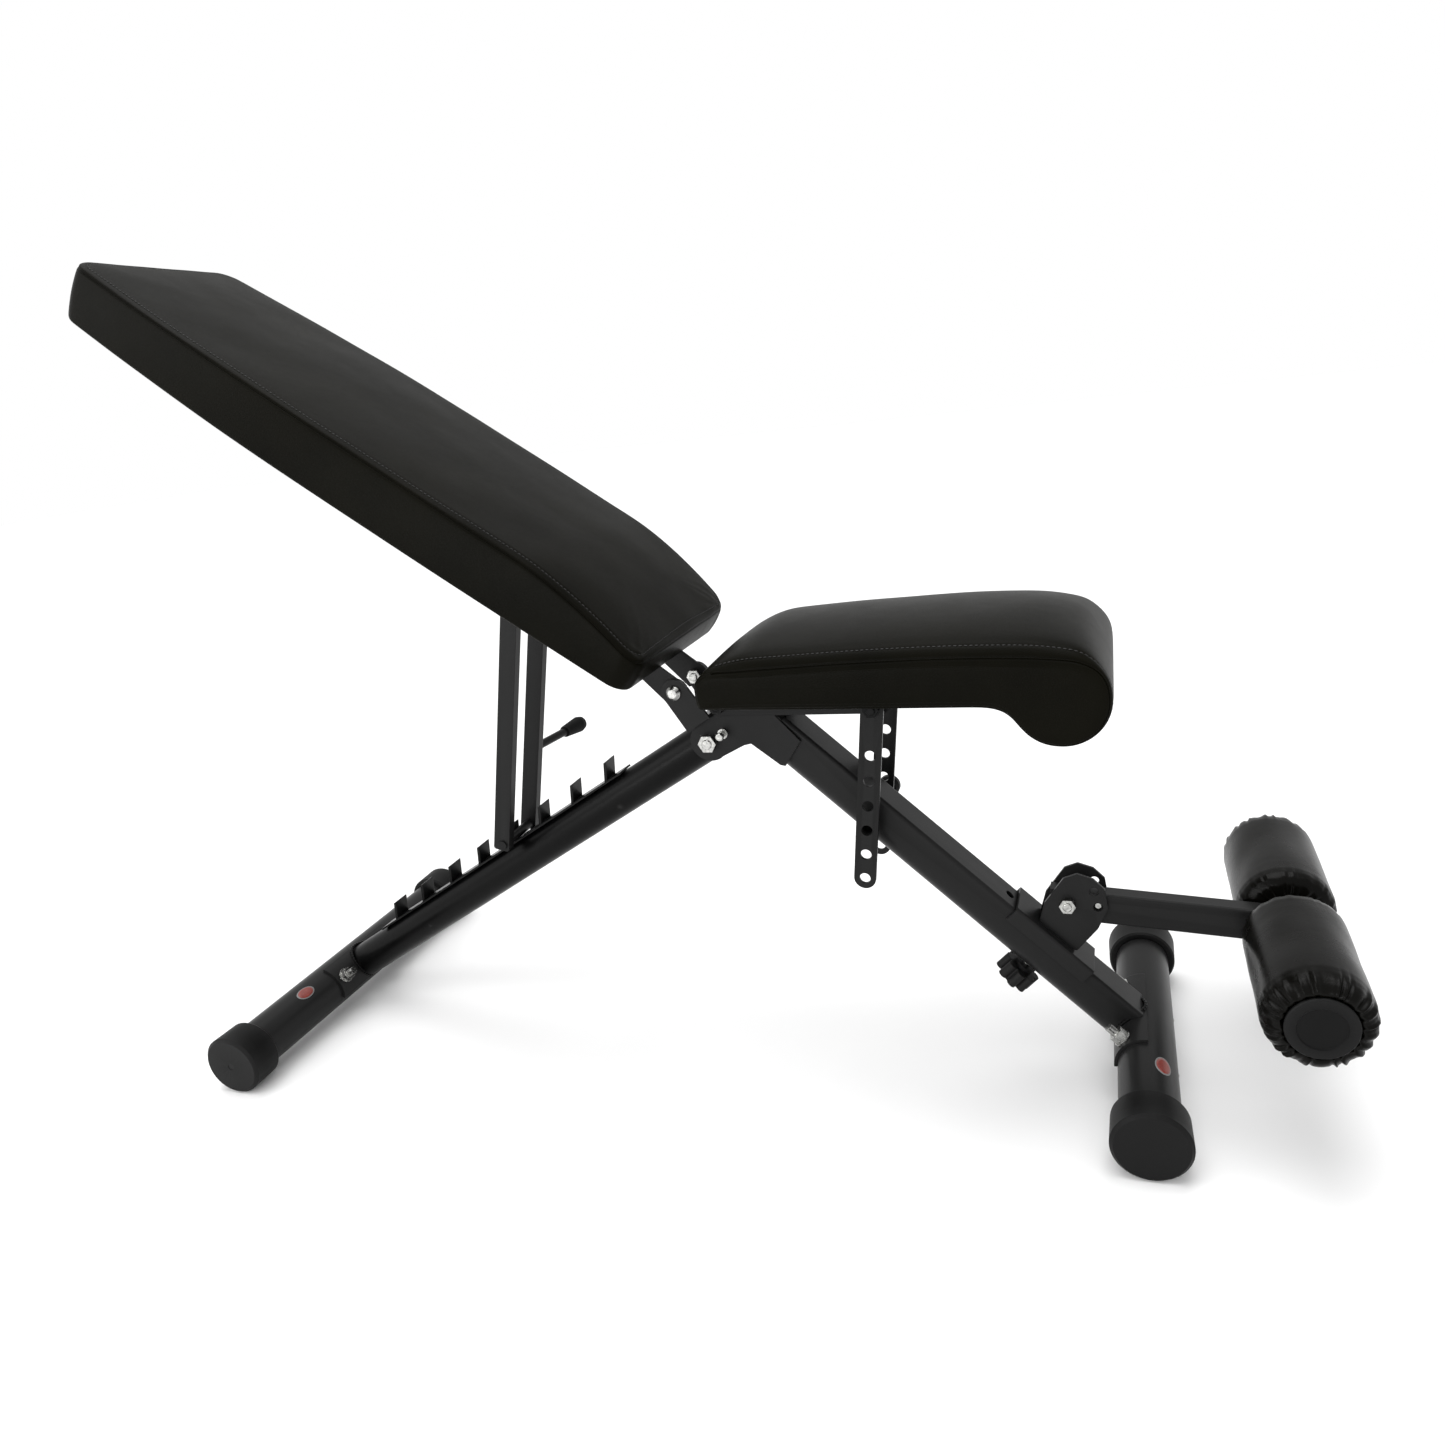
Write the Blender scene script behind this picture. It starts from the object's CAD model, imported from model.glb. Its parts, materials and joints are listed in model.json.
"""Looks of the decline sit-up bench: upholstery, roller covers, seams, weld beads and materials.

Lengths are written in millimetres and turned into metres by MM. Side-view places are (x, z) from
the rear crossbar's axis and the floor, as the frame has them.
"""
import json
from math import cos, exp, hypot, pi, radians, sin

import bmesh
import bpy
from mathutils import Matrix, Vector, noise


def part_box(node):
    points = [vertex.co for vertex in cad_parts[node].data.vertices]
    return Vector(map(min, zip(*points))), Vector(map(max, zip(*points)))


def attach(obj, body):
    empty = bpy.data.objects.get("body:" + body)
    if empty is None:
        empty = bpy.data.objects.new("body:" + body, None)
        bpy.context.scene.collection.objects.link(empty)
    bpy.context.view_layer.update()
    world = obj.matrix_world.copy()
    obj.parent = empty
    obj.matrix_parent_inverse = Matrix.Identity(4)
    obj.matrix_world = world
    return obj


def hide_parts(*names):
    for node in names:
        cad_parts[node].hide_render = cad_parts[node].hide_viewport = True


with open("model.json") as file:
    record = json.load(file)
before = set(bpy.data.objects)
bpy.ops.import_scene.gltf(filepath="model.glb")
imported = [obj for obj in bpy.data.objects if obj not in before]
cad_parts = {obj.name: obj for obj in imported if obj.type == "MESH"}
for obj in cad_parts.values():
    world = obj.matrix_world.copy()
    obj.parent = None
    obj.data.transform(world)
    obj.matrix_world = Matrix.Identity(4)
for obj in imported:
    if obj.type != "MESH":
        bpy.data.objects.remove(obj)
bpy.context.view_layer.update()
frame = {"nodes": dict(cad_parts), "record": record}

MM = 0.001
record = frame["record"]
joint_place = {j["name"]: Vector(j["pos_m"]) for j in record["behaviour"]["joints"] if "pos_m" in j}


def middle(node):
    low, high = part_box(node)
    return (Vector(low) + Vector(high)) / 2


rear_bar = middle("rear_crossbar")
back_pivot = joint_place["back_tilt"]
axle = middle("roller_axle")


def at(x, z, y=0.0):
    """Point from side-view millimetres."""
    return Vector((rear_bar.x + x * MM, y * MM, z * MM))


# ------------------------------------------------------------------ materials
def new_material(name):
    material = bpy.data.materials.new(name)
    material.use_nodes = True
    nodes = material.node_tree.nodes
    return material, nodes, material.node_tree.links, nodes["Principled BSDF"]


def object_coordinates(nodes, links, scale):
    """Object-space coordinates, scaled so that noise scales read as cells per metre."""
    coordinates = nodes.new("ShaderNodeTexCoord")
    mapping = nodes.new("ShaderNodeMapping")
    mapping.inputs["Scale"].default_value = scale
    links.new(coordinates.outputs["Object"], mapping.inputs["Vector"])
    return mapping.outputs["Vector"]


def noise_field(nodes, links, vector, scale, detail=3.0, roughness=0.5):
    field = nodes.new("ShaderNodeTexNoise")
    field.inputs["Scale"].default_value = scale
    field.inputs["Detail"].default_value = detail
    field.inputs["Roughness"].default_value = roughness
    links.new(vector, field.inputs["Vector"])
    return field.outputs["Fac"]


def ramp(nodes, links, value, stops):
    """Colour ramp from (position, colour) stops."""
    node = nodes.new("ShaderNodeValToRGB")
    links.new(value, node.inputs["Fac"])
    elements = node.color_ramp.elements
    while len(elements) < len(stops):
        elements.new(0.5)
    for element, (position, colour) in zip(elements, stops):
        element.position = position
        element.color = (*colour, 1)
    return node.outputs["Color"]


def value_range(nodes, links, value, low, high):
    node = nodes.new("ShaderNodeMapRange")
    node.inputs["To Min"].default_value = low
    node.inputs["To Max"].default_value = high
    links.new(value, node.inputs["Value"])
    return node.outputs["Result"]


def bump(nodes, links, height, distance, strength, normal=None):
    node = nodes.new("ShaderNodeBump")
    node.inputs["Distance"].default_value = distance
    node.inputs["Strength"].default_value = strength
    links.new(height, node.inputs["Height"])
    if normal:
        links.new(normal, node.inputs["Normal"])
    return node.outputs["Normal"]


def soft_edges(nodes, radius):
    """Rounded normals on the sharp edges of a pressed or moulded part."""
    node = nodes.new("ShaderNodeBevel")
    node.samples = 4
    node.inputs["Radius"].default_value = radius
    return node.outputs["Normal"]


def edge_mask(nodes, links, low, high):
    """0 on flats and 1 on outer edges, where coating wears thin."""
    geometry = nodes.new("ShaderNodeNewGeometry")
    node = nodes.new("ShaderNodeMapRange")
    node.inputs["From Min"].default_value = low
    node.inputs["From Max"].default_value = high
    links.new(geometry.outputs["Pointiness"], node.inputs["Value"])
    return node.outputs["Result"]


def leatherette(name, dark, light, roughness, grain, specular):
    """Coated fabric: cell grain, finer pores, slow tone drift and a clear satin coat."""
    material, nodes, links, shader = new_material(name)
    place = object_coordinates(nodes, links, (1, 1, 1))
    drift = noise_field(nodes, links, place, 9, 4, 0.6)
    links.new(ramp(nodes, links, drift, [(0.3, dark), (0.75, light)]), shader.inputs["Base Color"])
    patch = noise_field(nodes, links, place, 45, 5, 0.7)
    links.new(value_range(nodes, links, patch, roughness - 0.03, roughness + 0.05),
              shader.inputs["Roughness"])
    cells = nodes.new("ShaderNodeTexVoronoi")
    cells.feature = "DISTANCE_TO_EDGE"
    cells.inputs["Scale"].default_value = 620
    links.new(place, cells.inputs["Vector"])
    pores = noise_field(nodes, links, place, 1500, 2)
    hide = noise_field(nodes, links, place, 60, 3)
    normal = bump(nodes, links, hide, 0.0012, 0.10)
    normal = bump(nodes, links, cells.outputs["Distance"], 0.0004, grain, normal)
    normal = bump(nodes, links, pores, 0.0002, grain * 0.5, normal)
    links.new(normal, shader.inputs["Normal"])
    shader.inputs["Specular IOR Level"].default_value = specular
    return material


def powder_coat(name, tone):
    """Satin black powder coat: orange-peel texture, dust in patches and thin edges."""
    material, nodes, links, shader = new_material(name)
    place = object_coordinates(nodes, links, (1, 1, 1))
    patch = noise_field(nodes, links, place, 22, 5, 0.65)
    worn = edge_mask(nodes, links, 0.53, 0.62)
    base = ramp(nodes, links, patch, [(0.3, (tone, tone, tone)), (0.8, (tone * 1.7,) * 3)])
    mix = nodes.new("ShaderNodeMix")
    mix.data_type = "RGBA"
    links.new(worn, mix.inputs["Factor"])
    links.new(base, mix.inputs["A"])
    mix.inputs["B"].default_value = (0.012, 0.012, 0.012, 1)
    links.new(mix.outputs["Result"], shader.inputs["Base Color"])
    links.new(value_range(nodes, links, patch, 0.26, 0.38), shader.inputs["Roughness"])
    peel = noise_field(nodes, links, place, 900, 2)
    normal = bump(nodes, links, peel, 0.0003, 0.16, soft_edges(nodes, 0.0009))
    links.new(normal, shader.inputs["Normal"])
    shader.inputs["Metallic"].default_value = 0.0
    shader.inputs["Specular IOR Level"].default_value = 0.085
    return material


def zinc_plate(name):
    """Bright zinc on steel hardware, faintly mottled, with fine turning marks."""
    material, nodes, links, shader = new_material(name)
    place = object_coordinates(nodes, links, (1, 1, 1))
    mottle = noise_field(nodes, links, place, 350, 4, 0.6)
    links.new(ramp(nodes, links, mottle, [(0.3, (0.24, 0.24, 0.235)), (0.7, (0.52, 0.52, 0.50))]),
              shader.inputs["Base Color"])
    links.new(value_range(nodes, links, mottle, 0.16, 0.34), shader.inputs["Roughness"])
    marks = noise_field(nodes, links, object_coordinates(nodes, links, (1, 8, 1)), 900, 2)
    normal = bump(nodes, links, marks, 0.0002, 0.2, soft_edges(nodes, 0.0005))
    links.new(normal, shader.inputs["Normal"])
    shader.inputs["Metallic"].default_value = 1.0
    return material


def moulded(name, tone, roughness, grain_scale):
    """Moulded plastic or rubber with spark-eroded grain and lighter rubbed edges."""
    material, nodes, links, shader = new_material(name)
    place = object_coordinates(nodes, links, (1, 1, 1))
    patch = noise_field(nodes, links, place, 30, 4, 0.6)
    base = ramp(nodes, links, patch, [(0.3, (tone,) * 3), (0.8, (tone * 1.6,) * 3)])
    mix = nodes.new("ShaderNodeMix")
    mix.data_type = "RGBA"
    links.new(edge_mask(nodes, links, 0.52, 0.6), mix.inputs["Factor"])
    links.new(base, mix.inputs["A"])
    mix.inputs["B"].default_value = (0.010, 0.010, 0.010, 1)
    links.new(mix.outputs["Result"], shader.inputs["Base Color"])
    links.new(value_range(nodes, links, patch, roughness - 0.05, roughness + 0.08),
              shader.inputs["Roughness"])
    grain = noise_field(nodes, links, place, grain_scale, 3, 0.7)
    normal = bump(nodes, links, grain, 0.0003, 0.22, soft_edges(nodes, 0.0010))
    links.new(normal, shader.inputs["Normal"])
    shader.inputs["Specular IOR Level"].default_value = 0.09
    return material


def plywood(name):
    """Plain ply: long grain streaks along the board."""
    material, nodes, links, shader = new_material(name)
    streaks = noise_field(nodes, links, object_coordinates(nodes, links, (4, 90, 90)), 3, 5, 0.6)
    links.new(ramp(nodes, links, streaks, [(0.3, (0.36, 0.25, 0.14)), (0.75, (0.62, 0.47, 0.30))]),
              shader.inputs["Base Color"])
    shader.inputs["Roughness"].default_value = 0.75
    links.new(bump(nodes, links, streaks, 0.0005, 0.3), shader.inputs["Normal"])
    return material


def badge_enamel(name):
    """Red printed label with faint print mottle."""
    material, nodes, links, shader = new_material(name)
    place = object_coordinates(nodes, links, (1, 1, 1))
    mottle = noise_field(nodes, links, place, 500, 3)
    links.new(ramp(nodes, links, mottle, [(0.35, (0.13, 0.012, 0.007)), (0.7, (0.20, 0.022, 0.013))]),
              shader.inputs["Base Color"])
    links.new(value_range(nodes, links, mottle, 0.3, 0.42), shader.inputs["Roughness"])
    links.new(bump(nodes, links, mottle, 0.0001, 0.2), shader.inputs["Normal"])
    return material


def thread(name, tone):
    """Twisted sewing thread."""
    material, nodes, links, shader = new_material(name)
    twist = noise_field(nodes, links, object_coordinates(nodes, links, (1, 1, 1)), 2500, 2)
    links.new(ramp(nodes, links, twist, [(0.3, (tone,) * 3), (0.7, (tone * 2.2,) * 3)]),
              shader.inputs["Base Color"])
    shader.inputs["Roughness"].default_value = 0.6
    links.new(bump(nodes, links, twist, 0.0002, 0.5), shader.inputs["Normal"])
    return material


PAD_SKIN = leatherette("pad_skin", (0.0016, 0.0015, 0.0007), (0.0036, 0.0033, 0.0018),
                       0.38, 0.35, 0.03)
ROLLER_SKIN = leatherette("roller_skin", (0.0012, 0.0011, 0.0008), (0.0024, 0.0022, 0.0017),
                          0.27, 0.22, 0.07)
COAT = powder_coat("powder_coat", 0.0013)
ZINC = zinc_plate("zinc_plate")
PLASTIC = moulded("moulded_plastic", 0.0026, 0.48, 1100)
RUBBER = moulded("grip_rubber", 0.0036, 0.62, 1600)
PLY = plywood("plywood")
THREAD = thread("thread", 0.0035)
RED = badge_enamel("badge_red")

SLOT_LOOKS = {
    "pad_leatherette": PAD_SKIN,
    "roller_leatherette": ROLLER_SKIN,
    "powder_coated_steel": COAT,
    "zinc_plated_steel": ZINC,
    "moulded_plastic": PLASTIC,
    "grip_rubber": RUBBER,
    "plywood": PLY,
}
BLACKENED = ("rear_cap_screws", "strut_pivot_bolt", "seat_pivot_bolt", "seat_bar_bolt", "seat_pin_sleeve",
             "fold_bushing", "seat_bar_spacers")
for part in record["subparts"]:
    node = frame["nodes"][part["node"]]
    look = COAT if part["node"] in BLACKENED else SLOT_LOOKS[part["material_slot"]]
    node.data.materials.clear()
    node.data.materials.append(look)


# ------------------------------------------------------------------ mesh helpers
def piece(name, verts, faces, material, body, smooth=True):
    """New mesh piece that rides on a body and takes its finish from a record slot."""
    mesh = bpy.data.meshes.new(name)
    mesh.from_pydata([tuple(v) for v in verts], [], faces)
    mesh.validate()
    mesh.materials.append(material)
    if smooth:
        mesh.shade_smooth()
    obj = bpy.data.objects.new(name, mesh)
    bpy.context.scene.collection.objects.link(obj)
    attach(obj, body)
    return obj


def weld(obj):
    """Join the points of rings that close onto a line."""
    mesh = bmesh.new()
    mesh.from_mesh(obj.data)
    bmesh.ops.remove_doubles(mesh, verts=mesh.verts, dist=2e-5)
    bmesh.ops.dissolve_degenerate(mesh, edges=mesh.edges, dist=2e-5)
    mesh.to_mesh(obj.data)
    mesh.free()


def ring_mesh(rings, close_start=True, close_end=True):
    """Verts and faces of a skin over rings of equal length, each a closed loop of points."""
    count = len(rings[0])
    verts = [p for ring in rings for p in ring]
    faces = []
    for r in range(len(rings) - 1):
        for i in range(count):
            j = (i + 1) % count
            faces.append((r * count + i, r * count + j, (r + 1) * count + j, (r + 1) * count + i))
    for ring_index, wanted, flip in ((0, close_start, True), (len(rings) - 1, close_end, False)):
        if not wanted:
            continue
        centre = sum((Vector(p) for p in rings[ring_index]), Vector()) / count
        verts.append(centre)
        hub = len(verts) - 1
        for i in range(count):
            j = (i + 1) % count
            a, b = ring_index * count + i, ring_index * count + j
            faces.append((b, a, hub) if flip else (a, b, hub))
    return verts, faces


def tube_rings(path, radius_at, closed, sides=8):
    """Rings round a path of points, turned so that they never twist."""
    rings = []
    count = len(path)
    previous = Vector((0, 0, 1))
    for i, p in enumerate(path):
        ahead = path[(i + 1) % count] if closed or i < count - 1 else p
        behind = path[i - 1] if closed or i > 0 else p
        direction = (ahead - behind).normalized()
        across = direction.cross(previous)
        if across.length < 1e-4:
            across = direction.cross(Vector((0, 1, 0)))
        across.normalize()
        up = across.cross(direction)
        previous = up
        radius = radius_at(i)
        rings.append([p + across * (radius * cos(2 * pi * k / sides))
                      + up * (radius * sin(2 * pi * k / sides)) for k in range(sides)])
    if closed:
        rings.append(rings[0])
    return rings


def cord_piece(name, path, radius, material, body, closed=True):
    verts, faces = ring_mesh(tube_rings(path, lambda i: radius, closed), not closed, not closed)
    return piece(name, verts, faces, material, body)


def resample(path, step, closed=True):
    """Points at even steps along a path."""
    points = list(path) + ([path[0]] if closed else [])
    spaced = [points[0].copy()]
    left = step
    for a, b in zip(points, points[1:]):
        length = (b - a).length
        while length >= left and length > 0:
            a = a + (b - a) * (left / length)
            spaced.append(a.copy())
            length = (b - a).length
            left = step
        left -= length
    return spaced


def stitch_row(name, path, body, pitch=4.2, length=2.9, radius=0.42, closed=True):
    """Row of short raised stitches along a path."""
    verts, faces = [], []
    spots = resample(path, pitch * MM, closed)
    for a, b in zip(spots, spots[1:]):
        direction = (b - a).normalized()
        half = direction * (length * MM / 2)
        centre = (a + b) / 2
        stops = [centre - half, centre - half * 0.6, centre, centre + half * 0.6, centre + half]
        widths = [0.35, 0.9, 1.0, 0.9, 0.35]
        rings = tube_rings(stops, lambda i: radius * widths[i] * MM, False, 6)
        part_verts, part_faces = ring_mesh(rings)
        start = len(verts)
        verts += part_verts
        faces += [tuple(start + index for index in face) for face in part_faces]
    return piece(name, verts, faces, THREAD, body)


def subdivide(obj, levels):
    modifier = obj.modifiers.new("smooth", "SUBSURF")
    modifier.levels = levels
    modifier.render_levels = levels


# ------------------------------------------------------------------ back pad
PAD_TILT = radians(35.35)                 # underside against the floor
PAD_LENGTH = 661.0
PAD_FOOT = back_pivot + Vector((-10.8, 0, 24.6)) * MM
to_head = Vector((-cos(PAD_TILT), 0, sin(PAD_TILT)))
pad_up = Vector((sin(PAD_TILT), 0, cos(PAD_TILT)))
PAD_SEAM_HEIGHT = 54.5
PAD_SEAT_SEAM = 28.5                      # seam height at the seat end
PAD_FALL = 135.0
PAD_CORNER = 18.0
PAD_HALVES = ((-60, 117.5), (0, 121.0), (110, 124.0), (240, 125.0), (430, 122.0), (570, 110.5),
              (661, 99.0), (750, 88.0))
PAD_HEAD_SEAM = 50.0                      # seam height at the head
UNDERSIDE = -0.3                          # cover below the board it wraps
STITCH_INSET = 6.8                        # stitch line in from the seam


def pad_point(along, across, height):
    return PAD_FOOT + (to_head * along + Vector((0, 1, 0)) * across + pad_up * height) * MM


PAD_SPINE_START, PAD_SPINE_END = 96.0, 88  # spine's ends, in from the seat end and from the head
HEAD_FALL_START = 400                     # from here the seam drops towards the head
TOP_INSET = 1.2                           # the crowned top starts this far in from the outline
ROUND_OVER = 9.0                          # width of the top's rounded edge
TOP_EDGE, SHOULDER_RISE, CROWN_RISE = 0.9, 3.0, 4.0
STITCH_DIP, STITCH_DIP_REACH, STITCH_LIFT = 0.65, 1.3, 0.25
SEAM_INSET, SEAM_LIFT = 2.0, 0.2
SEAM_CORD = 0.6 * MM                      # radius of the cord in both cushions' seams


def smooth_between(stops, place):
    """Value at a place on a smooth curve through (place, value) stops."""
    i = next(k for k in range(1, len(stops) - 2) if place <= stops[k + 1][0])
    (x0, y0), (x1, y1), (x2, y2), (x3, y3) = stops[i - 1:i + 3]
    t = (place - x1) / (x2 - x1)
    slope_1 = (y2 - y0) / (x2 - x0) * (x2 - x1)
    slope_2 = (y3 - y1) / (x3 - x1) * (x2 - x1)
    return ((2 * t ** 3 - 3 * t ** 2 + 1) * y1 + (t ** 3 - 2 * t ** 2 + t) * slope_1
            + (3 * t ** 2 - 2 * t ** 3) * y2 + (t ** 3 - t ** 2) * slope_2)


def pad_half_width(along):
    """Half the plan width: fullest at a third, tapering to both ends, with round corners."""
    full = smooth_between(PAD_HALVES, min(max(along, 0.0), PAD_LENGTH))
    over = PAD_CORNER - min(along, PAD_LENGTH - along)
    if over > 0:
        full -= PAD_CORNER - max(PAD_CORNER ** 2 - over ** 2, 0.0) ** 0.5
    return full


def pad_plan():
    """Closed plan outline from the seat end round to the head and back."""
    corner = [PAD_CORNER * (1 - cos(pi / 2 * i / 7)) for i in range(8)]
    middle_part = [PAD_CORNER + (PAD_LENGTH - 2 * PAD_CORNER) * i / 58 for i in range(1, 58)]
    stations = corner + middle_part + [PAD_LENGTH - c for c in reversed(corner)]
    side = [(a, pad_half_width(a)) for a in stations]
    seat_edge, head_edge = side[0][1], side[-1][1]
    head = [(PAD_LENGTH, head_edge * (1 - i / 12)) for i in range(1, 24)]
    foot = [(0.0, seat_edge * (i / 12 - 1)) for i in range(1, 24)]
    return side + head + [(a, -y) for a, y in reversed(side)] + foot


def pad_ring(plan, inset, height):
    """Plan outline moved in towards the pad's spine by inset(reach) mm, at a height."""
    ring = []
    for a, y in plan:
        spine = min(max(a, PAD_SPINE_START), PAD_LENGTH - PAD_SPINE_END)
        reach = hypot(a - spine, y)
        depth = inset(reach)
        share = 1 - depth / reach
        place = spine + (a - spine) * share
        ring.append((place, y * share, height(place, depth, reach)))
    return ring


def pad_seam(along):
    """Height of the seam, which drops towards the seat end and a little towards the head."""
    fall = max(0.0, 1 - max(along, 0.0) / PAD_FALL)
    to_the_head = max(0.0, (along - HEAD_FALL_START) / (PAD_LENGTH - HEAD_FALL_START))
    return (PAD_SEAM_HEIGHT - (PAD_SEAM_HEIGHT - PAD_SEAT_SEAM) * fall ** 1.7
            - (PAD_SEAM_HEIGHT - PAD_HEAD_SEAM) * to_the_head)


def pad_top(along, inset, reach):
    """Height of the crowned top at a distance in from the seam, with a dip under the stitches."""
    shoulder = (max(0.0, 1 - (1 - min(inset, ROUND_OVER) / ROUND_OVER) ** 2)) ** 0.5
    crown = 1 - (1 - min(inset / reach, 1.0)) ** 2.4
    dip = STITCH_DIP * exp(-((inset - STITCH_INSET) / STITCH_DIP_REACH) ** 2)
    return pad_seam(along) + TOP_EDGE + SHOULDER_RISE * shoulder + CROWN_RISE * crown - dip


def make_back_pad():
    """Back pad's cover with its seam cord and its row of stitches."""
    def top_height(along, inset, reach):
        return pad_top(along, inset - TOP_INSET, reach)

    plan = pad_plan()
    rings = []
    for share in (1.0, 0.7, 0.4, 0.16, 0.05):
        rings.append(pad_ring(plan, lambda r: share * r, lambda a, i, r: UNDERSIDE))
    sides = [(2.2, 0.0), (0.6, 0.035), (0.0, 0.11), (-0.6, 0.3), (-1.0, 0.52), (-0.6, 0.74), (0.0, 0.9),
             (0.5, 0.965), (1.0, 0.985), (2.7, 0.996)]
    for inset, share in sides:
        rings.append(pad_ring(plan, lambda r: inset,
                              lambda a, i, r: UNDERSIDE + share * (pad_seam(a) - UNDERSIDE)))
    for inset in (1.3, 1.9, 3.2, 4.8, 6.2, 7.2, 8.0, 8.8, 9.8, 11.4, 14, 18, 24):
        rings.append(pad_ring(plan, lambda r: inset, top_height))
    for share in (0.3, 0.42, 0.55, 0.68, 0.8, 0.91, 1.0):
        rings.append(pad_ring(plan, lambda r: share * r, top_height))
    placed = [[pad_point(*pull(a, y, h)) for a, y, h in ring] for ring in rings]
    verts, faces = ring_mesh(placed, False, False)
    cover = piece("back_pad_cover", verts, faces, PAD_SKIN, "back_pad")
    weld(cover)
    subdivide(cover, 2)
    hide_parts("back_cushion")
    seam_ring = pad_ring(plan, lambda r: SEAM_INSET, lambda a, i, r: pad_seam(a) + SEAM_LIFT)
    seam = [pad_point(*pull(a, y, h)) for a, y, h in seam_ring]
    cord_piece("back_pad_seam", seam, SEAM_CORD, PAD_SKIN, "back_pad")
    stitch_ring = pad_ring(plan, lambda r: STITCH_INSET + TOP_INSET, top_height)
    stitches = [pad_point(*pull(a, y, h + STITCH_LIFT)) for a, y, h in stitch_ring]
    stitch_row("back_pad_stitches", stitches, "back_pad")


def pull(along, across, height):
    """Point of the cover, moved by slow sags of the top and fine pulls at the seat end's corners."""
    if height < 3:
        return along, across, height
    slow = noise.noise(Vector((along * 0.012, across * 0.02, 3.1)))
    share = min(1.0, height / 30)
    corner = exp(-(max(0.0, along) / 30) ** 2) * exp(-((abs(across) - 96) / 26) ** 2)
    creases = sin(across * 0.62 + along * 0.25) * 0.55 + sin(across * 0.33 - along * 0.4) * 0.4
    top = min(1.0, max(0.0, (height - pad_seam(along)) / 4))
    lift = slow * 0.9 * top + creases * corner * 0.6 * share
    return along + creases * corner * (1 - top), across, height + lift


make_back_pad()

# ------------------------------------------------------------------ seat
SEAT_HALF = 104.0
SEAT_REAR = 538.0
SEAT_BASE = 389.5                         # height of the board's underside
ROLL_CENTRE, ROLL_RADIUS = (847.0, 393.6), 38.0
SPINE_REAR, SPINE_HEIGHT = 580.0, 411.0   # the line that insets move towards
SPINE_BEND, SPINE_DROP = 790, 14          # it runs down to the roll from the bend
TOP_STARTS = 414                          # only points above this height are crowned


def bezier(a, b, c, d, steps):
    """Points of a cubic curve, without its last point."""
    points = []
    for i in range(steps):
        t = i / steps
        u = 1 - t
        points.append(tuple(u ** 3 * p + 3 * u * u * t * q + 3 * u * t * t * r + t ** 3 * s
                            for p, q, r, s in zip(a, b, c, d)))
    return points


def seat_profile():
    """Side outline of the seat, anticlockwise from the rear of its underside."""
    low, rear = SEAT_BASE + UNDERSIDE, SEAT_REAR
    roll_x, roll_z = ROLL_CENTRE
    outline = bezier((rear + 5, low), (rear + 90, low), (rear + 160, low), (780, low), 16)
    outline += bezier((780, low), (800, low), (806, 384), (813, 374), 6)
    outline += bezier((813, 374), (822, 361), (833, 355.6), (roll_x, roll_z - ROLL_RADIUS), 6)
    outline += [(roll_x + ROLL_RADIUS * cos(radians(t)), roll_z + ROLL_RADIUS * sin(radians(t)))
                for t in range(-90, 0, 8)]
    outline += bezier((885, roll_z), (885, 411), (879, 424), (856, 428.5), 10)
    outline += bezier((856, 428.5), (820, 432), (780, 433), (723, 432), 10)
    outline += bezier((723, 432), (670, 431), (610, 428), (560, 424), 12)
    outline += bezier((560, 424), (549, 423), (rear + 1, 419), (rear, 410), 6)
    outline += bezier((rear, 410), (rear, 404), (rear, 398), (rear + 1, 394), 4)
    outline += bezier((rear + 1, 394), (rear + 1.5, 391), (rear + 3, low), (rear + 5, low), 3)
    return outline


def seat_inset(point, inset, part=0.0):
    """Profile point moved in towards the seat's spine line by a distance, or by part of the way."""
    x, z = point
    roll_x = ROLL_CENTRE[0]
    spine = min(max(x, SPINE_REAR), roll_x)
    heart_z = SPINE_HEIGHT
    if spine >= SPINE_BEND:
        heart_z -= SPINE_DROP * (spine - SPINE_BEND) / (roll_x - SPINE_BEND)
    reach = hypot(x - spine, z - heart_z)
    share = 1 - (part or inset / reach)
    return (spine + (x - spine) * share, heart_z + (z - heart_z) * share)


def seat_crown(x, z, across):
    """Extra height of the top towards the seat's middle."""
    if z < TOP_STARTS:
        return 0.0
    share = min(1.0, abs(across) / SEAT_HALF)
    shoulder = 1 - max(0.0, 1 - (1 - share) * SEAT_HALF / 16) ** 2
    rise = 8.5 * shoulder + 13.0 * (1 - share ** 2.2)
    front = min(1.0, max(0.0, (888 - x) / 70))
    rear = min(1.0, max(0.0, (x - SEAT_REAR) / 55))
    ease = min(1.0, (z - TOP_STARTS) / 12) * front * (2 - front) * rear * (2 - rear)
    return rise * ease


def seat_taper(x):
    """Share of the full width, which narrows a little towards the rear."""
    return 1 - 0.03 * max(0.0, (640 - x) / 99) ** 2


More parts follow.
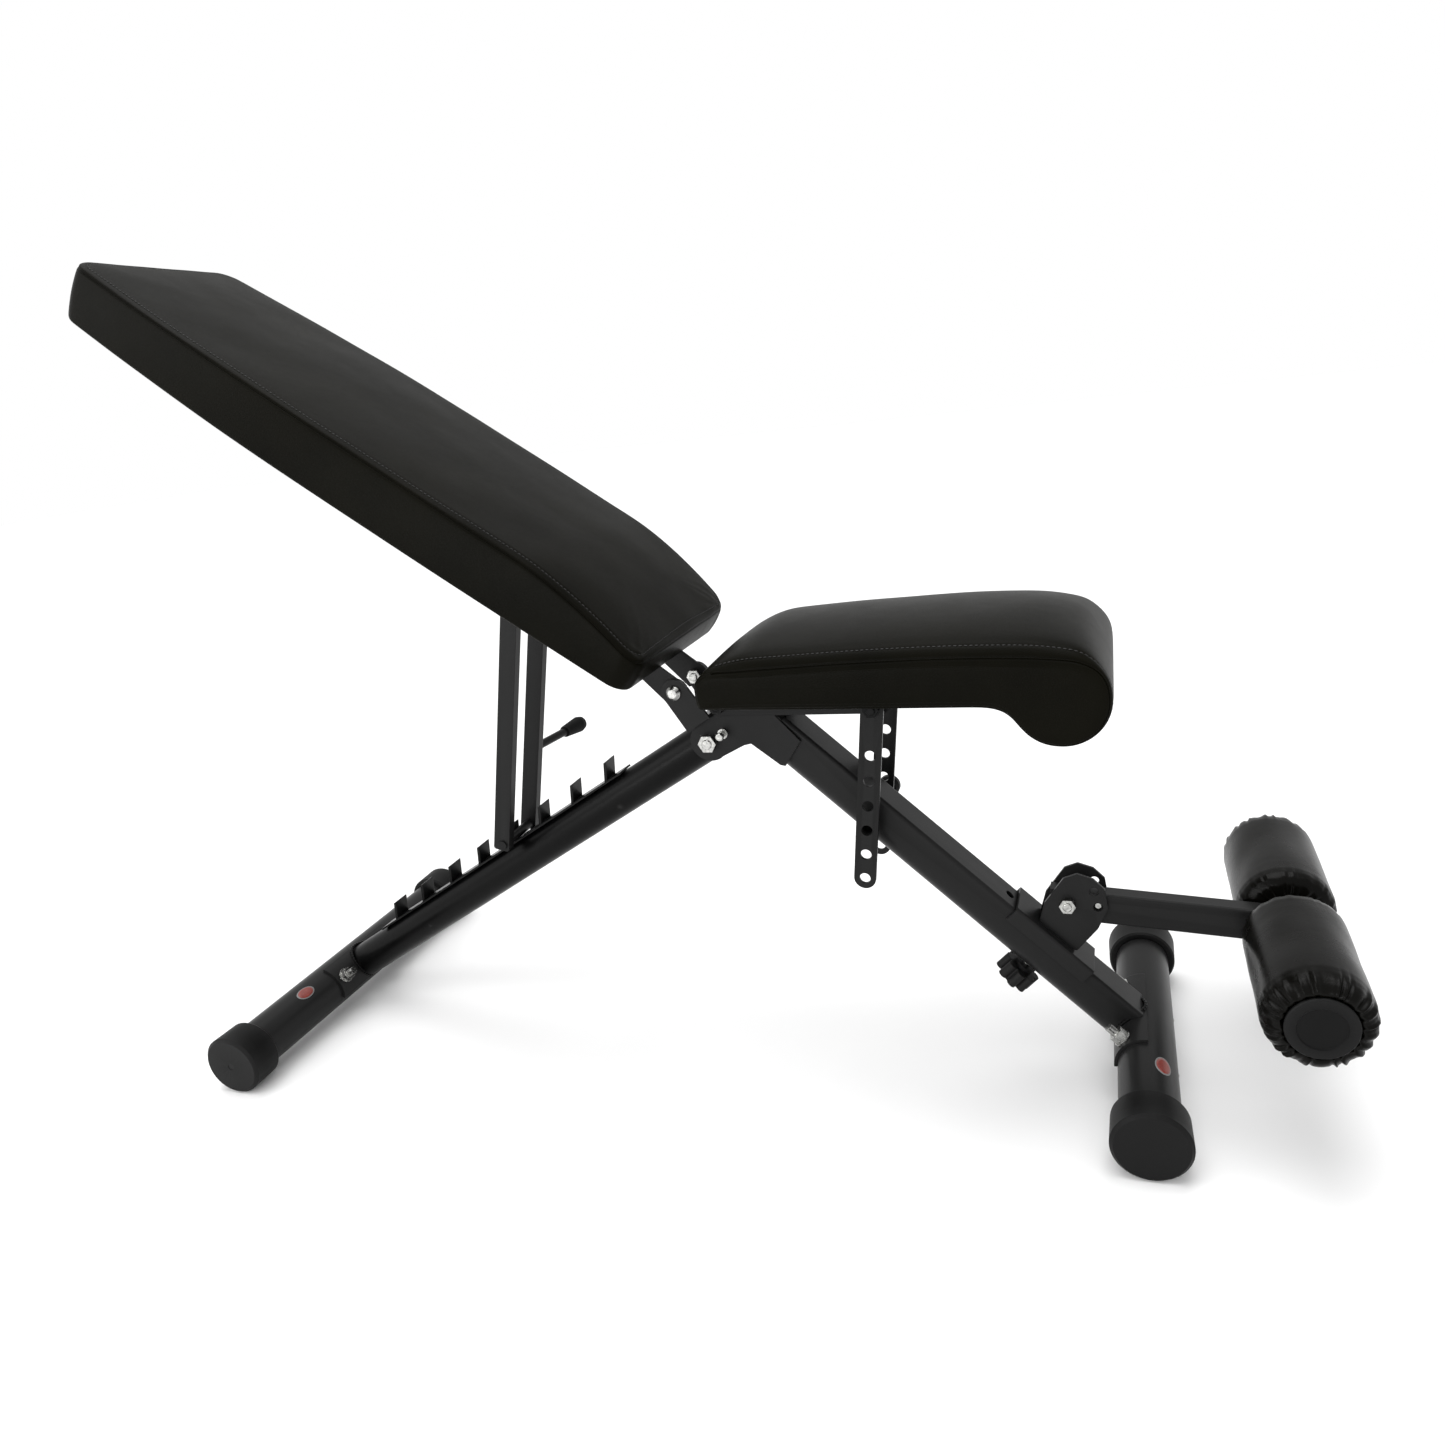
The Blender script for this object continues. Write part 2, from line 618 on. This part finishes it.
def make_seat():
    """Seat's cover with a seam cord and a row of stitches on each side."""
    outline = seat_profile()
    steps = [(SEAT_HALF + 2.4, 1.0, 0), (SEAT_HALF + 2.3, 0.62, 0), (SEAT_HALF + 2.0, 0.3, 0),
             (SEAT_HALF + 1.4, 0, 7.0), (SEAT_HALF + 0.6, 0, 4.2), (SEAT_HALF - 0.2, 0, 2.9),
             (SEAT_HALF - 2.0, 0, 3.2), (SEAT_HALF - 1.7, 0, 1.5), (SEAT_HALF - 2.8, 0, 0.7),
             (SEAT_HALF - 4.6, 0, 0.2), (SEAT_HALF - 6.4, 0, 0.1), (SEAT_HALF - 7.6, 0, 0.6),
             (SEAT_HALF - 8.8, 0, 0.1), (SEAT_HALF - 12, 0, 0.0), (SEAT_HALF - 20, 0, -0.2)]
    across = list(steps)
    across += [(y, 0, -0.2) for y in (60, 30, 0, -30, -60)]
    across += [(-y, share, inset) for y, share, inset in reversed(steps)]
    rings = []
    for y, share, inset in across:
        ring = []
        for point in outline:
            x, z = seat_inset(point, inset, share)
            slow = noise.noise(Vector((x * 0.015, y * 0.02, 9.0))) * (1.0 if z > 420 else 0.0)
            ring.append(at(x, z + seat_crown(x, z, y) + slow, y * seat_taper(x)))
        rings.append(ring)
    verts, faces = ring_mesh(rings, False, False)
    cover = piece("seat_cover", verts, faces, PAD_SKIN, "seat")
    weld(cover)
    subdivide(cover, 2)
    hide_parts("seat_cushion")
    for side_name, side in (("near", -1), ("far", 1)):
        start = next(i for i, p in enumerate(outline) if p[0] > 860 and p[1] > 372)
        stop = next(i for i, p in enumerate(outline) if i > start and p[0] < SEAT_REAR + 12)
        run = outline[start:stop]
        for label, drop, step_in in (("seam", 2.3, 1.3), ("stitches", 0.3, 7.6)):
            path = []
            for point in run:
                x, z = seat_inset(point, drop)
                y = side * (SEAT_HALF - step_in) * seat_taper(x)
                path.append(at(x, z + seat_crown(x, z, y), y))
            path = resample(path, 4 * MM, False)
            if label == "seam":
                cord_piece(f"seat_seam_{side_name}", path, SEAM_CORD, PAD_SKIN, "seat",
                           False)
            else:
                stitch_row(f"seat_stitches_{side_name}", path, "seat",
                           closed=False)


make_seat()


# ------------------------------------------------------------------ roller covers
END_CAP_RADIUS = 26 * MM


def make_roller(side_name, out, node):
    """Leatherette sleeve over foam, gathered by a drawstring at both ends."""
    low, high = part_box(node)
    inner, outer = sorted((abs(low[1]), abs(high[1])))
    radius = (high[0] - low[0]) / 2
    length = outer - inner
    inner_end = [(0, 0.42), (0.003, 0.60), (0.012, 0.78), (0.032, 0.91), (0.065, 0.975), (0.11, 1.0)]
    waist = [(share, 1.0 + 0.004 * sin(share * 9)) for share in (0.2, 0.3, 0.4, 0.5, 0.6, 0.7, 0.8, 0.86)]
    outer_end = [(0.91, 0.985), (0.95, 0.945), (0.98, 0.875), (1.0, 0.79), (1.008, 0.72), (1.004, 0.655)]
    profile = [(inner + share * length, radius * r) for share, r in inner_end + waist + outer_end]
    profile.append((outer - 3 * MM, END_CAP_RADIUS))
    around = 288
    smooth_profile = resample([Vector((y, r, 0)) for y, r in profile], 1.6 * MM, False)
    rings = []
    for spot in smooth_profile:
        y, r = spot.x, spot.y
        share = (y - inner) / length
        outer_gather = exp(-((1.0 - share) / 0.085) ** 2)
        inner_gather = exp(-(share / 0.07) ** 2)
        gather = max(outer_gather, inner_gather * 0.8)
        ring = []
        for k in range(around):
            angle = 2 * pi * k / around
            wander = 1.6 * noise.noise(Vector((cos(angle) * 2.2, sin(angle) * 2.2, 4.0 * out)))
            folds = sin(angle * 23 + wander * 4) + 0.45 * sin(angle * 41 + wander * 9)
            fold = 1.0 * MM * gather * folds
            long_wave = noise.noise(Vector((cos(angle) * 1.7, sin(angle) * 1.7, share * 3.5 + 5 * out)))
            depth = r + fold + 0.8 * MM * long_wave * (1 - gather)
            across = y + 0.9 * MM * gather * folds * 0.6
            ring.append(Vector((axle.x + depth * cos(angle), out * across,
                                axle.z + depth * sin(angle))))
        rings.append(ring)
    verts, faces = ring_mesh(rings, False, False)
    cover = piece(f"{side_name}_roller_cover", verts, faces, ROLLER_SKIN, f"{side_name}_roller")
    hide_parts(node)


make_roller("near", -1, "near_foam_roller")
make_roller("far", 1, "far_foam_roller")


# ------------------------------------------------------------------ weld beads and badges
def weld_bead(name, path, body, radius=1.7, closed=False):
    """Rippled weld bead along a path."""
    points = resample(path, 0.9 * MM, closed)
    swell = [radius * MM * (1 + 0.16 * sin(2 * pi * i / 4)) for i in range(len(points) + 1)]
    verts, faces = ring_mesh(tube_rings(points, lambda i: swell[i], closed), not closed, not closed)
    return piece(name, verts, faces, COAT, body)


def badge(name, bar, half_width, facing, across, body):
    """Plain oval label wrapped on a round crossbar, with a pale rim."""
    low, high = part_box(bar)
    radius = (high[0] - low[0]) / 2
    centre = middle(bar)
    half_height = half_width * 0.62
    for part, scale, lift, look in (("rim", 1.0, 0.25, RIM), ("face", 0.86, 0.45, RED)):
        rings = []
        for share in (1.0, 0.97, 0.7, 0.35, 0.05):
            ring = []
            for k in range(48):
                angle = 2 * pi * k / 48
                along = half_width * scale * share * cos(angle)
                round_bar = half_height * scale * share * sin(angle) / (radius / MM)
                height = radius + (lift if share < 1.0 else 0.0) * MM
                turn = facing + round_bar
                ring.append(Vector((centre.x + height * cos(turn), (across + along) * MM,
                                    centre.z + height * sin(turn))))
            rings.append(ring)
        verts, faces = ring_mesh(rings, False, True)
        piece(f"{name}_{part}", verts, faces, look, body)


RIM = thread("badge_rim", 0.09)
badge("rear_badge", "rear_crossbar", 12.0, radians(62), -96, "rear_frame")
badge("front_badge", "front_crossbar", 12.0, radians(62), -84, "front_frame")


def saddle_weld(name, bar, angle_deg, half_y, half_n, shell, body):
    """Bead where a beam's foot meets its saddle plate."""
    centre = middle(bar)
    heading = Vector((cos(radians(angle_deg)), 0, sin(radians(angle_deg))))
    rise = Vector((-heading.z, 0, heading.x))
    path = []
    for k in range(72):
        angle = 2 * pi * k / 72
        y, n = half_y * cos(angle), half_n * sin(angle)
        reach = max(shell ** 2 - n ** 2, 0.0) ** 0.5
        path.append(centre + (heading * (reach + 0.6) + rise * n + Vector((0, y, 0))) * MM)
    weld_bead(name, path, body, 1.9, True)


saddle_weld("rear_saddle_weld", "rear_crossbar", 30.35, 20.6, 20.4, 28.5, "rear_frame")
saddle_weld("front_saddle_weld", "front_crossbar", 137.1, 21.0, 21.0, 28.5, "front_frame")


# ------------------------------------------------------------------ stage, light and camera
def make_stage():
    size = 14.0
    verts = [(-size, -size, 0), (size, -size, 0), (size, size, 0), (-size, size, 0)]
    mesh = bpy.data.meshes.new("floor")
    mesh.from_pydata(verts, [], [(0, 1, 2, 3)])
    floor = bpy.data.objects.new("floor", mesh)
    bpy.context.scene.collection.objects.link(floor)
    material, nodes, links, shader = new_material("floor_paper")
    place = object_coordinates(nodes, links, (1, 1, 1))
    tone = noise_field(nodes, links, place, 3, 3)
    links.new(ramp(nodes, links, tone, [(0.3, (0.80, 0.80, 0.80)), (0.7, (0.83, 0.83, 0.83))]),
              shader.inputs["Base Color"])
    shader.inputs["Roughness"].default_value = 0.9
    shader.inputs["Specular IOR Level"].default_value = 0.1
    mesh.materials.append(material)


def area_light(name, place, target, size, power, size_y=None):
    data = bpy.data.lights.new(name, "AREA")
    data.shape = "RECTANGLE"
    data.size = size
    data.size_y = size_y or size
    data.energy = power
    lamp = bpy.data.objects.new(name, data)
    lamp.location = place
    lamp.rotation_euler = (Vector(target) - Vector(place)).to_track_quat("-Z", "Y").to_euler()
    bpy.context.scene.collection.objects.link(lamp)


def make_light():
    world = bpy.data.worlds.new("studio")
    world.use_nodes = True
    background = world.node_tree.nodes["Background"]
    background.inputs["Color"].default_value = (1, 1, 1, 1)
    background.inputs["Strength"].default_value = 1.0
    bpy.context.scene.world = world
    sun = bpy.data.lights.new("overhead", "SUN")
    sun.energy = 1.1
    sun.angle = radians(40)
    lamp = bpy.data.objects.new("overhead", sun)
    lamp.rotation_euler = (radians(-14), radians(-10), 0)
    bpy.context.scene.collection.objects.link(lamp)
    area_light("low_strip", (-0.7, -2.0, 0.45), (0.1, 0, 0.3), 1.8, 18, 0.3)
    area_light("top_softbox", (0.1, -0.3, 2.6), (0, 0, 0.2), 2.2, 26, 1.6)
    area_light("left_softbox", (-2.4, -1.6, 1.7), (0, 0, 0.3), 1.6, 22)


def make_camera():
    """View from in front of the near side, turned, tipped and rolled slightly."""
    place = Vector((rear_bar.x + 0.8831, -0.9269, 0.6539))
    yaw, pitch, roll = radians(20.51), radians(17.88), radians(6.82)
    forward = Vector((-sin(yaw) * cos(pitch), cos(yaw) * cos(pitch), -sin(pitch)))
    right = Vector((cos(yaw), sin(yaw), 0))
    down = forward.cross(right)
    right, down = right * cos(roll) + down * sin(roll), down * cos(roll) - right * sin(roll)
    data = bpy.data.cameras.new("camera")
    data.sensor_width = 36.0
    data.lens = 26.43
    data.shift_x = -0.0094
    data.shift_y = 0.0071
    camera = bpy.data.objects.new("camera", data)
    turn = Matrix((right, -down, -forward)).transposed().to_4x4()
    camera.matrix_world = Matrix.Translation(place) @ turn
    bpy.context.scene.collection.objects.link(camera)
    bpy.context.scene.camera = camera


bpy.context.scene.view_settings.view_transform = "Standard"
make_stage()
make_light()
make_camera()
